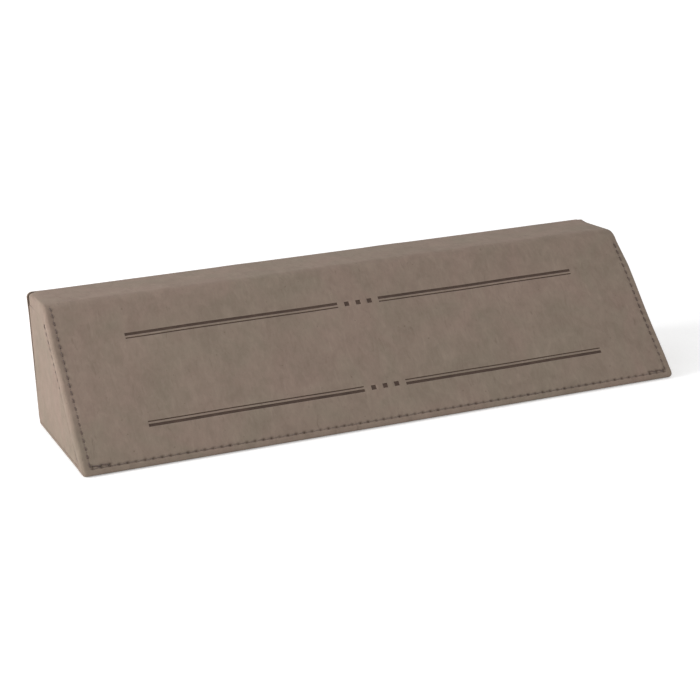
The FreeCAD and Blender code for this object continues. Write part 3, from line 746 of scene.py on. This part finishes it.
def cover_painted_shade(points):
    """Painted shade of the cover: dark at its stitch holes, and at its edge deep in the end seams.
    """
    # Painted shade: the holes of every row are darkened.
    dark = np.zeros(points.shape[:2])
    uneven = 0.78 + 0.22 * np.sin(flat_cover[..., 0] * 0.61) * np.sin(flat_cover[..., 0] * 0.17 + 1)
    dark = np.maximum(dark, holes(flat_cover, FACE_SEAMS[0], uneven, 0.62))
    for name in FACE_SEAMS[1:]:
        dark = np.maximum(dark, holes(flat_cover, name, 0.5, 0.24, 1.5))
    for name in TACKS:
        dark = np.maximum(dark, holes(flat_cover, name, 0.9, 0.6))
    for name in END_SEAMS:
        dark = np.maximum(dark, holes(points, name, 0.5, 0.3))
    return dark


outside = places - directions * cover_relief(places)[..., None]
inside = places - directions * SKIN
cells = np.ones((rows_high - 1, columns_wide - 1), bool)
cells[:TOE_ROW, :first_face] = cells[:TOE_ROW, last_face:] = False
cells[BACK_ROW:, :first_face] = cells[BACK_ROW:, last_face:] = False
print(int(cells.sum()), "cells")

# %% The face cover as a sheet
middles = (places[1:, 1:] + places[:-1, :-1]) / 2
marks = (engraving(middles[..., 0], (middles - TOE) @ ALONG) > 0) & (
    np.abs((middles - TOE) @ OUT) < 0.4
)


def every(first, last, step):
    """Grid lines from first to last, about a step apart, with both ends."""
    return sorted({*range(first, last, step), last})


keep_rows = sorted({0, *range(TOE_ROW, FACE_ROW + 1), *every(FACE_ROW, SHOULDER_ROW, 24),
                    *every(SHOULDER_ROW, TOP_ROW, 2), *every(TOP_ROW, FOLD_ROW, 7),
                    *range(FOLD_ROW, BACK_ROW + 1), rows_high - 1})
keep_columns = sorted({*range(0, first_face + 1), *every(first_face, last_face, 40),
                       *range(last_face, columns_wide)})
face_cover = sheet_mesh("face_cover", outside, inside, cells, keep_rows, keep_columns,
                        marks=marks, painted_shade=cover_painted_shade(places))
for finish in (leatherette, engraved):
    face_cover.data.materials.append(finish)
face_cover.data.calc_loop_triangles()
print("Face cover:", len(face_cover.data.loop_triangles), "triangles")

# %% [markdown]
# ## The ends and the panels
#
# An end cover, the back panel and the base panel have one shape in common: a flat plate whose
# edge turns over a soft corner and runs down a side. All three come from one helper, which takes
# the outline, goes inwards from it in rings, and outwards over the edge.

# %% A rounded outline
def rounded_outline(corners, radii, spacing):
    """Return points and outward directions round a convex outline, each point's side, and its bend.

    A bend is the corner, the direction in from it, its radius, and how far in its centre lies.
    """
    count = len(corners)
    points, normals, sides, bends = [], [], [], []
    corners = [np.array(c, float) for c in corners]

    def cut(k):
        before, here, after = corners[k - 1], corners[k], corners[(k + 1) % count]
        a = (before - here) / np.linalg.norm(before - here)
        b = (after - here) / np.linalg.norm(after - here)
        half = math.acos(float(np.clip(a @ b, -1, 1))) / 2
        return a, b, half, radii[k] / math.tan(half)

    for k in range(count):
        a, b, half, back_off = cut(k)
        here = corners[k]
        start, stop = here + a * back_off, here + b * back_off
        inwards = (a + b) / np.linalg.norm(a + b)
        centre = here + inwards * radii[k] / math.sin(half)
        n0, n1 = (start - centre) / radii[k], (stop - centre) / radii[k]
        steps = max(3, int(radii[k]) + 3)
        for s in np.linspace(0, 1, steps + 1):
            n = n0 * (1 - s) + n1 * s
            n /= np.linalg.norm(n)
            points.append(centre + n * radii[k])
            normals.append(n)
            sides.append(k)
            bends.append((*here, *inwards, radii[k], 1 / math.sin(half)))
        following = corners[(k + 1) % count]
        end = following + cut((k + 1) % count)[0] * cut((k + 1) % count)[3]
        pieces = max(1, int(np.linalg.norm(end - stop) / spacing))
        for s in np.linspace(0, 1, pieces + 1)[1:-1]:
            points.append(stop + (end - stop) * s)
            normals.append(n1)
            sides.append(k)
            bends.append((0,) * 6)
    return np.array(points), np.array(normals), np.array(sides), np.array(bends)


print(len(rounded_outline([(0, 0), (9, 0), (9, 9), (0, 9)], (1,) * 4, 2.0)[0]),
      "points go round a square of 9 mm with round corners")

# %% A pan: a plate with its edge turned over
# The least radius of a corner that is moved in, and how far down a deep side its extra ring is.
SHARPEST, SIDE_RING = 0.06, 0.78


def pan(name, corners, radii, to_space, edge, side_depth, lip_depth=0.0, lip_sides=(),
        spacing=2.0, relief=None, shade=None):
    """A plate with a rounded edge of radius edge and sides of side_depth, and lips on some sides.

    to_space turns (p, q, depth) into a place, where depth goes into the object. shade gives the
    painted shade of each point, from its place and from how far it has turned down the side.
    """
    line, normal, side, bend = rounded_outline(corners, radii, spacing)
    middle = line.mean(0)

    def moved_in(distance):
        """The outline moved in. Its corners get sharper, but they never fold over."""
        radius = np.maximum(bend[:, 4] - distance, SHARPEST)
        centre = bend[:, :2] + bend[:, 2:4] * ((distance + radius) * bend[:, 5])[:, None]
        round_a_corner = centre + normal * radius[:, None]
        return np.where(bend[:, 4:5] > 0, round_a_corner, line - normal * distance)

    shares = (0.02, 0.15, 0.3, 0.45, 0.6, 0.73, 0.84, 0.92, 0.965, 0.99)
    flat, under = moved_in(edge), moved_in(SKIN)
    rings = [(middle + (flat - middle) * s, 0.0) for s in shares]
    inner_rings = [(middle + (under - middle) * s, SKIN) for s in shares]
    turns = np.linspace(0, math.pi / 2, 6)
    for turn in turns:
        rings.append((moved_in(edge * (1 - math.sin(turn))), edge * (1 - math.cos(turn))))
        inner_rings.append((under, SKIN))
    depths = [side_depth]
    if side_depth > SKIN:
        depths.insert(0, SIDE_RING * side_depth)
    if lip_depth:
        depths += list(np.linspace(side_depth, lip_depth, 4)[1:])
    for depth in depths:
        rings.append((line, depth))
        inner_rings.append((under, max(depth, SKIN)))

    def stack(layers, extra=None):
        sheets = []
        for k, (spots, depth) in enumerate(layers):
            deep = np.full(len(spots), depth)
            if extra is not None:
                deep = deep + extra[k]
            sheets.append(to_space(np.column_stack([spots, deep])))
        return np.stack(sheets)

    outer, inner = stack(rings), stack(inner_rings)
    if relief is not None:
        flatness = np.array([max(0.0, 1 - depth / edge) for _, depth in rings])[:, None]
        outer = stack(rings, relief(outer) * flatness)
    # Painted shade: the dark share of each outer point, darkest deep down the sides.
    painted_shade = None
    if shade is not None:
        down = np.array([min(1.0, depth / side_depth) for _, depth in rings])[:, None]
        painted_shade = shade(outer, down * np.ones(outer.shape[:2]))
    across, outward = outer[2, 1] - outer[2, 0], outer[3, 0] - outer[2, 0]
    if np.cross(across, outward) @ (inner[2, 0] - outer[2, 0]) > 0:
        outer, inner, side = outer[:, ::-1], inner[:, ::-1], side[::-1]
        painted_shade = None if painted_shade is None else painted_shade[:, ::-1]
    high, wide = outer.shape[:2]
    has = np.ones((high - 1, wide), bool)
    edge_row = len(shares) + len(turns)
    if lip_depth:
        lipped = np.isin(side, lip_sides) & np.isin(np.roll(side, -1), lip_sides)
        has[edge_row:, ~lipped] = False
    kept = {0, 3, edge_row, high - 1}
    if side_depth > SKIN + 0.01:
        kept.add(len(shares))
    return sheet_mesh(name, outer, inner, has, sorted(kept), list(range(wide + 1)), closed=True,
                      painted_shade=painted_shade)


print("Pan helper ready")

# %% [markdown]
# The ends carry the same slow wave as the face. Each has a turn-in on the base and on the back,
# and its two other edges meet the margin of the face cover in a sewn seam. The two panels are
# thin cards in their own covers, a little short of the ends, and they hide every turn-in. At the
# upper left corner of the back the panel's cover stands off a little, as in the photograph.

# %% The end covers
END_LIP = 10.0


def end_corners():
    """The corners of an end cover in (y, z): toe, heel, top of the back, and shoulder."""
    sin, cos = math.sin(SLOPE), math.cos(SLOPE)
    line_y = TOE_Y + MARGIN / sin
    top = HEIGHT - MARGIN
    return [(line_y + PANEL * cos / sin, PANEL), (BACK_Y, PANEL), (BACK_Y, top),
            (line_y + top * cos / sin, top)]


def end_relief(points):
    """Pull of the end seam, a slow wave, and puckers low in the seam."""
    side = "left" if points[0, 0, 0] < 0 else "right"
    depth = pull(points, side + "_end_stitch_row", 0.12, 0.16)
    v, w = (points - TOE) @ ALONG, (points - TOE) @ OUT
    pucker = np.sin(v * 1.3 + 0.5) * dip(v - 14.0, 7.0) * dip(w + 7.0, 2.6)
    return np.minimum(depth - wave(points, 0.12) + 0.16 * pucker + lean(points), SKIN - 0.1)


def end_shade(points, down):
    """Painted shade where the edge turns down against the panels, and a little along the seam."""
    v, w = (points - TOE) @ ALONG, (points - TOE) @ OUT
    seam = dip(w + MARGIN, 0.6)
    fading = 0.25 + 0.75 * dip(v - 38.0, 16.0)
    side = "left" if points[0, 0, 0] < 0 else "right"
    painted_shade = holes(points, side + "_end_stitch_row", 0.45, 0.3)
    return np.maximum(np.clip(down * 2.4 - 0.25, 0, 1) * (1 - seam * (1 - fading)) * 0.85, painted_shade)


def panel_shade(points, down):
    """Painted shade at the inner edge of a panel's sides, where it lies against the box."""
    return 0.95 * np.clip(down * 4.4 - 3.4, 0, 1)


def end_cover(name, side):
    """The cover of an end, with lips on the base and on the back. side is -1 for the left."""
    def to_space(spots):
        return np.column_stack([side * (HALF - spots[:, 2]), spots[:, 0], spots[:, 1]])

    radii = (0.5, 0.8, 0.8, SHOULDER_R - MARGIN)
    return pan(name, end_corners(), radii, to_space, 0.5, SKIN, lip_depth=END_LIP,
               lip_sides=(0, 1), spacing=1.1, relief=end_relief, shade=end_shade)


end_covers = {"left": end_cover("left_end_wrap", -1), "right": end_cover("right_end_wrap", 1)}
for made in end_covers.values():
    made.data.materials.append(leatherette)
    print(made.name, len(made.data.polygons), "faces")

# %% The back and base panels
PANEL_X, PANEL_FRONT, PANEL_BACK, PANEL_TOP = 126.7, -30.7, 38.8, 55.5
FLAP = np.array((-PANEL_X, 39.1, PANEL_TOP))
FLAP_SIZE, FLAP_OUT, FLAP_UP = 6.0, 0.1, 0.7


def back_relief(points):
    """The back is free to bulge a little, out as well as in."""
    return -wave(points, 0.1)


def base_relief(points):
    """The base only goes in, so that the plate doesn't sink into the desk."""
    return 0.06 + 0.6 * np.abs(wave(points, 0.08))


def panel(name, low, high, radii, to_space, relief):
    """The cover of a panel, from its low edge to its high one."""
    corners = [(-PANEL_X, low), (PANEL_X, low), (PANEL_X, high), (-PANEL_X, high)]
    return pan(name, corners, radii, to_space, 0.6, PANEL - 0.02, spacing=2.5, relief=relief,
               shade=panel_shade)


back_wrap = panel(
    "back_panel_wrap", PANEL, PANEL_TOP, (1.2, 1.2, 2.4, 2.2),
    lambda s: np.column_stack([s[:, 0], BACK_Y + PANEL - s[:, 2], s[:, 1]]), back_relief,
)
base_wrap = panel("base_panel_wrap", PANEL_FRONT, PANEL_BACK, (0.5, 0.5, 1.2, 1.2),
                  lambda s: s.copy(), base_relief)
for vertex in back_wrap.data.vertices:
    away = float(np.linalg.norm(np.array(vertex.co) / MM - FLAP))
    share = math.exp(-((away / FLAP_SIZE) ** 2))
    vertex.co.x -= FLAP_OUT * MM * share
    vertex.co.y += FLAP_UP * MM * share
for made in (back_wrap, base_wrap):
    made.data.materials.append(leatherette)
    print(made.name, len(made.data.polygons), "faces")

# %% [markdown]
# ## The foam
#
# A thin open-cell foam lies between the board and the leatherette. Nobody sees it, but it is
# what makes the edges soft, so it is there as a sheet of its own under the face, the shoulder
# and the top.

# %% The foam under the face
FOAM_X, FOAM_OUTSIDE, FOAM_INSIDE = 125.9, 1.02, 2.48


def foam_pad():
    """The foam, from the same section as the cover, with its two sides further in."""
    picked = sorted({FACE_ROW - 4, *every(FACE_ROW, SHOULDER_ROW, 6),
                     *every(SHOULDER_ROW, TOP_ROW, 2), *every(TOP_ROW, FOLD_ROW, 3)})
    lines = np.linspace(-FOAM_X, FOAM_X, 61)
    base = places[picked][:, first_face]
    out = directions[picked][:, first_face]
    outer, inner = [], []
    for x in lines:
        soft = 0.03 * np.sin(x * 1.7 + np.arange(len(picked)))[:, None]
        for sheet, depth in ((outer, FOAM_OUTSIDE + soft), (inner, FOAM_INSIDE)):
            spots = base - out * depth
            spots[:, 0] = x
            spots[:, 2] = np.maximum(spots[:, 2], 1.0)
            sheet.append(spots)
    outer, inner = np.stack(outer, 1), np.stack(inner, 1)
    whole = np.ones((len(picked) - 1, len(lines) - 1), bool)
    return sheet_mesh("face_foam", outer, inner, whole, list(range(len(picked))),
                      list(range(len(lines))))


face_foam = foam_pad()
face_foam.data.materials.append(foam)
print("Foam:", len(face_foam.data.polygons), "faces")

# %% [markdown]
# ## The stitches
#
# About a hundred and fifty stitches are one stitch, repeated. Geometry Nodes says exactly that: the
# path of the seam is cut into equal steps, and a short bent strand is put on each. The strand
# slants a little across its row, as a lockstitch does, and its ends dive into the needle holes.
# The left row ends round the shoulder, and its path takes it there. The result is made real,
# because a game engine or a 3-D printer knows nothing of instances.

# %% The node tree of a row of stitches
STRAND_STEPS, RING_POINTS = 9, 7


def stitch_tree():
    """Build the tree: a named input for each size, and a plain mesh at the end."""
    tree = bpy.data.node_groups.new("stitch_row", "GeometryNodeTree")
    face = tree.interface
    face.new_socket("Geometry", in_out="OUTPUT", socket_type="NodeSocketGeometry")
    face.new_socket("Path", in_out="INPUT", socket_type="NodeSocketGeometry")
    face.new_socket("Count", in_out="INPUT", socket_type="NodeSocketInt")
    for name in ("Length", "Slant", "Crown", "Dive", "Thread radius", "Unevenness"):
        face.new_socket(name, in_out="INPUT", socket_type="NodeSocketFloat")
    face.new_socket("Thread", in_out="INPUT", socket_type="NodeSocketMaterial")
    given = tree.nodes.new("NodeGroupInput").outputs

    def add(kind, inputs=None, **settings):
        return add_node(tree, kind, inputs, **settings).outputs[0]

    def times(value, factor):
        return add("ShaderNodeMath", {0: value, 1: factor}, operation="MULTIPLY")

    def spot(x, y, z):
        return add("ShaderNodeCombineXYZ", {"X": x, "Y": y, "Z": z})

    def marked(curve, attribute):
        """Store on a curve how far along it each point is."""
        share = add("GeometryNodeSplineParameter")
        return add("GeometryNodeStoreNamedAttribute",
                   {"Geometry": curve, "Name": attribute, "Value": share},
                   data_type="FLOAT", domain="POINT")

    def most(direction):
        """The largest shift of a stitch: a direction times the unevenness."""
        return add("ShaderNodeVectorMath", {0: direction, "Scale": given["Unevenness"]},
                   operation="SCALE")

    # One stitch: a bent strand, made a tube.
    half, dive = times(given["Length"], 0.5), times(given["Dive"], -1.0)
    strand = add("GeometryNodeCurveQuadraticBezier", {
        "Resolution": STRAND_STEPS,
        "Start": spot(times(half, -1.0), times(given["Slant"], -1.0), dive),
        "Middle": spot(0.0, 0.0, given["Crown"]),
        "End": spot(half, given["Slant"], dive),
    })
    ring = add("GeometryNodeCurvePrimitiveCircle",
               {"Resolution": RING_POINTS, "Radius": given["Thread radius"]})
    tube = add("GeometryNodeCurveToMesh", {
        "Curve": marked(strand, "strand_along"), "Profile Curve": marked(ring, "strand_around"),
        "Fill Caps": True,
    })
    # The seam: one point for each stitch, moved a little at random.
    path = add("GeometryNodeMeshToCurve", {"Mesh": given["Path"]})
    steps = add("GeometryNodeResampleCurve", {"Curve": path, "Count": given["Count"]})
    shift = add("FunctionNodeRandomValue",
                {0: most((-1.0, -1.0, -0.4)), 1: most((1.0, 1.0, 0.4)), "Seed": 7},
                data_type="FLOAT_VECTOR")
    moved = add("GeometryNodeSetPosition", {"Geometry": steps, "Offset": shift})
    # Each stitch stands up out of the cover first, and is then turned along its seam.
    outwards = add("GeometryNodeInputNamedAttribute", {"Name": "outwards"},
                   data_type="FLOAT_VECTOR")
    upright = add("FunctionNodeAlignRotationToVector", {"Vector": outwards}, axis="Z")
    turned = add("FunctionNodeAlignRotationToVector",
                 {"Rotation": upright, "Vector": add("GeometryNodeInputTangent")},
                 axis="X", pivot_axis="Z")
    copies = add("GeometryNodeInstanceOnPoints",
                 {"Points": moved, "Instance": tube, "Rotation": turned})
    real = add("GeometryNodeRealizeInstances", {"Geometry": copies})
    smooth = add("GeometryNodeSetShadeSmooth", {"Geometry": real})
    dyed = add("GeometryNodeSetMaterial", {"Geometry": smooth, "Material": given["Thread"]})
    tree.links.new(dyed, tree.nodes.new("NodeGroupOutput").inputs[0])
    return tree


STITCHES = stitch_tree()
print("Stitch tree has", len(STITCHES.nodes), "nodes")


# %% The paths of the seams
def on_cover(x, s):
    """Return the place on the bent cover of x and s, and the direction out of it."""
    if s <= FLAT_V:
        return on_face(x, s), OUT
    turned = SLOPE - (s - FLAT_V) / SHOULDER_R
    out = np.array((0.0, -math.sin(turned), math.cos(turned)))
    centre = on_face(x, FLAT_V, -SHOULDER_R)
    return centre + out * SHOULDER_R, out


def seam_path(name, node):
    """A chain of edges from the middle of a row's first stitch to the middle of its last."""
    r = ROWS[node]
    points = [r["start"] + r["direction"] * (k + 0.5) * PITCH for k in range(r["count"])]
    if node in END_SEAMS:
        side = np.array((-1.0 if node.startswith("left") else 1.0, 0.0, 0.0))
        spots = [(point, side) for point in points]
    else:
        spots = [on_cover(point[0], point[1]) for point in points]
    chain = bpy.data.meshes.new(name)
    chain.from_pydata([(place * MM).tolist() for place, _ in spots],
                      [(k, k + 1) for k in range(len(spots) - 1)], [])
    outwards = chain.attributes.new("outwards", "FLOAT_VECTOR", "POINT")
    outwards.data.foreach_set("vector", np.array([out for _, out in spots]).ravel())
    return chain


end_of_left_row = on_cover(-SIDE_X, SIDE_V + ROWS["left_stitch_row"]["count"] * PITCH)[0]
print("The left row ends", round(float(end_of_left_row[2]), 1), "mm up")


# %% Sewing the rows
def sew(name, node, thread, **looks):
    """Run the tree for one row and keep its result as a plain mesh."""
    sizes = {"Length": 1.95, "Slant": 0.1, "Crown": 0.4, "Dive": 0.46, "Thread radius": 0.27,
             "Unevenness": 0.05}
    sizes.update(looks)
    values = {key: value * MM for key, value in sizes.items()}
    values.update({"Count": ROWS[node]["count"], "Thread": thread})
    carrier = bpy.data.objects.new(name, seam_path(name, node))
    bpy.context.collection.objects.link(carrier)
    modifier = carrier.modifiers.new("stitches", "NODES")
    modifier.node_group = STITCHES
    for item in STITCHES.interface.items_tree:
        if item.in_out == "INPUT" and item.name in values:
            modifier[item.identifier] = values[item.name]
    seen = carrier.evaluated_get(bpy.context.evaluated_depsgraph_get())
    mesh = bpy.data.meshes.new_from_object(seen)
    carrier.modifiers.clear()
    carrier.data = mesh
    return carrier


HEM_LOOK = {"Length": 2.6, "Slant": 0.2, "Crown": 0.26, "Thread radius": 0.19}
TACK_LOOK = {"Length": 2.9, "Slant": -0.3, "Crown": 0.55, "Thread radius": 0.29}
END_LOOK = {"Length": 2.3, "Thread radius": 0.19, "Crown": 0.22, "Slant": 0.06}
# The bottom row is sewn with the lit copy of the thread: painted light.
SEWING = (
    ("bottom_stitch_row", "bottom_seam_thread", lit_thread, HEM_LOOK),
    ("left_stitch_row", "left_seam_thread", dark_thread, {}),
    ("right_stitch_row", "right_seam_thread", dark_thread, {}),
    ("left_back_tack", "left_tack_thread", dark_thread, TACK_LOOK),
    ("right_back_tack", "right_tack_thread", dark_thread, TACK_LOOK),
    ("left_end_stitch_row", "left_end_thread", tonal_thread, END_LOOK),
    ("right_end_stitch_row", "right_end_thread", tonal_thread, END_LOOK),
)
THREADS = {node: sew(name, node, thread, **look) for node, name, thread, look in SEWING}
for node, made in THREADS.items():
    print(node, len(made.data.vertices), "points")

# %% [markdown]
# ## The boards and cards
#
# These are flat and rigid, so the CAD shapes are already right. Only their finish changes.

# %% Give the boards and cards their finish
for name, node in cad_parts.items():
    if name.endswith(("_board", "_rib", "_card")):
        for k in range(len(node.data.materials)):
            node.data.materials[k] = card if name.endswith("_card") else greyboard
print("Boards and cards finished")

# %% [markdown]
# ## What stands for what
#
# Each new piece takes the place of a CAD node, which is hidden. Nothing moves on a name plate,
# so everything rides on the one body. The covers are sheets that were cut flat.

# %% Tie the pieces to the frame
COVERS = {"front_cover": face_cover, "left_end_cover": end_covers["left"],
          "right_end_cover": end_covers["right"], "back_cover": back_wrap, "base_cover": base_wrap}


def tie(piece, node, slot):
    """Let a piece ride on the body, in a node's place; slot is not used."""
    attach(piece, "root")
    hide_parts(node)


for node, piece in COVERS.items():
    tie(piece, node, "leatherette")
for node, piece in THREADS.items():
    tie(piece, node, "tonal_thread" if "end" in node else "dark_thread")
tie(face_foam, "front_foam", "foam")
print("Tied", len(COVERS) + len(THREADS) + 1, "pieces to the frame")

# %% [markdown]
# ## The studio
#
# A pale floor, an even sky, one large soft lamp on the left and a weak one in front. The left one
# is near, so the left end is the brightest side and the top grows darker to the right. The floor
# is seen as white, and still takes the shadow.

# %% The floor
def seen_rays(tree):
    """Return a value that is one for camera, glossy and transmission rays, and else nothing."""
    rays = add_node(tree, "ShaderNodeLightPath").outputs
    seen = rays["Is Camera Ray"]
    for kind in ("Is Glossy Ray", "Is Transmission Ray"):
        either = add_node(tree, "ShaderNodeMath", {0: seen, 1: rays[kind]}, operation="MAXIMUM")
        seen = either.outputs[0]
    return seen


def make_floor():
    """A pale floor that glows for the rays that show it, and less near the plate."""
    f = Finish("studio_floor")
    seen = seen_rays(f.tree)
    speck = f.spread(f.noise(30, 2, 0.5), 0.3, 0.7, 0.93, 0.96)
    away = f.add("ShaderNodeVectorMath", {0: f.place}, operation="LENGTH").outputs["Value"]
    glow = f.spread(away, 0.2, 0.9, 0.32, 0.6)
    colour = f.add("ShaderNodeCombineColor", {0: speck, 1: speck, 2: speck}).outputs[0]
    return f.show({"Base Color": colour, "Roughness": 0.9, "Specular IOR Level": 0.1,
                   "Emission Color": (1, 1, 1, 1),
                   "Emission Strength": f.combine("MULTIPLY", seen, glow)})


FLOOR_REACH, FLOOR_Z = 6.0, -0.0002
floor_mesh = bpy.data.meshes.new("studio_floor")
square = ((-1, -1), (1, -1), (1, 1), (-1, 1))
floor_mesh.from_pydata([(FLOOR_REACH * x, FLOOR_REACH * y, FLOOR_Z) for x, y in square],
                       [], [(0, 1, 2, 3)])
floor = bpy.data.objects.new("studio_floor", floor_mesh)
bpy.context.collection.objects.link(floor)
floor_mesh.materials.append(make_floor())
print("The floor reaches", FLOOR_REACH, "m each way")

# %% The sky and the lamps
SKY_LIGHT = 0.545
world = bpy.data.worlds.new("studio_sky")
bpy.context.scene.world = world
world.use_nodes = True
sky = world.node_tree
plain = sky.nodes["Background"]
feed(sky, plain, {"Color": (1, 1, 1, 1), "Strength": SKY_LIGHT})
shown = add_node(sky, "ShaderNodeBackground", {"Color": (1, 1, 1, 1), "Strength": 1.0})
choose = add_node(sky, "ShaderNodeMixShader",
                  {0: seen_rays(sky), 1: plain.outputs[0], 2: shown.outputs[0]})
feed(sky, sky.nodes["World Output"], {0: choose.outputs[0]})


def soft_lamp(name, power, size, place):
    """A round lamp of a size in metres, shining from a place on the middle of the plate."""
    light = bpy.data.lights.new(name, "AREA")
    light.energy, light.shape, light.size = power, "DISK", size
    lamp = bpy.data.objects.new(name, light)
    lamp.location = place
    lamp.rotation_euler = (Vector(place) - Vector((0, 0, 0.03))).to_track_quat("Z", "Y").to_euler()
    bpy.context.collection.objects.link(lamp)


soft_lamp("window_on_the_left", 5.3, 0.45, (-0.80, 0.08, 0.31))
soft_lamp("fill_in_front", 2.9, 0.9, (0.15, -0.95, 0.62))
bpy.context.scene.view_settings.view_transform = "Standard"
print("Studio ready")
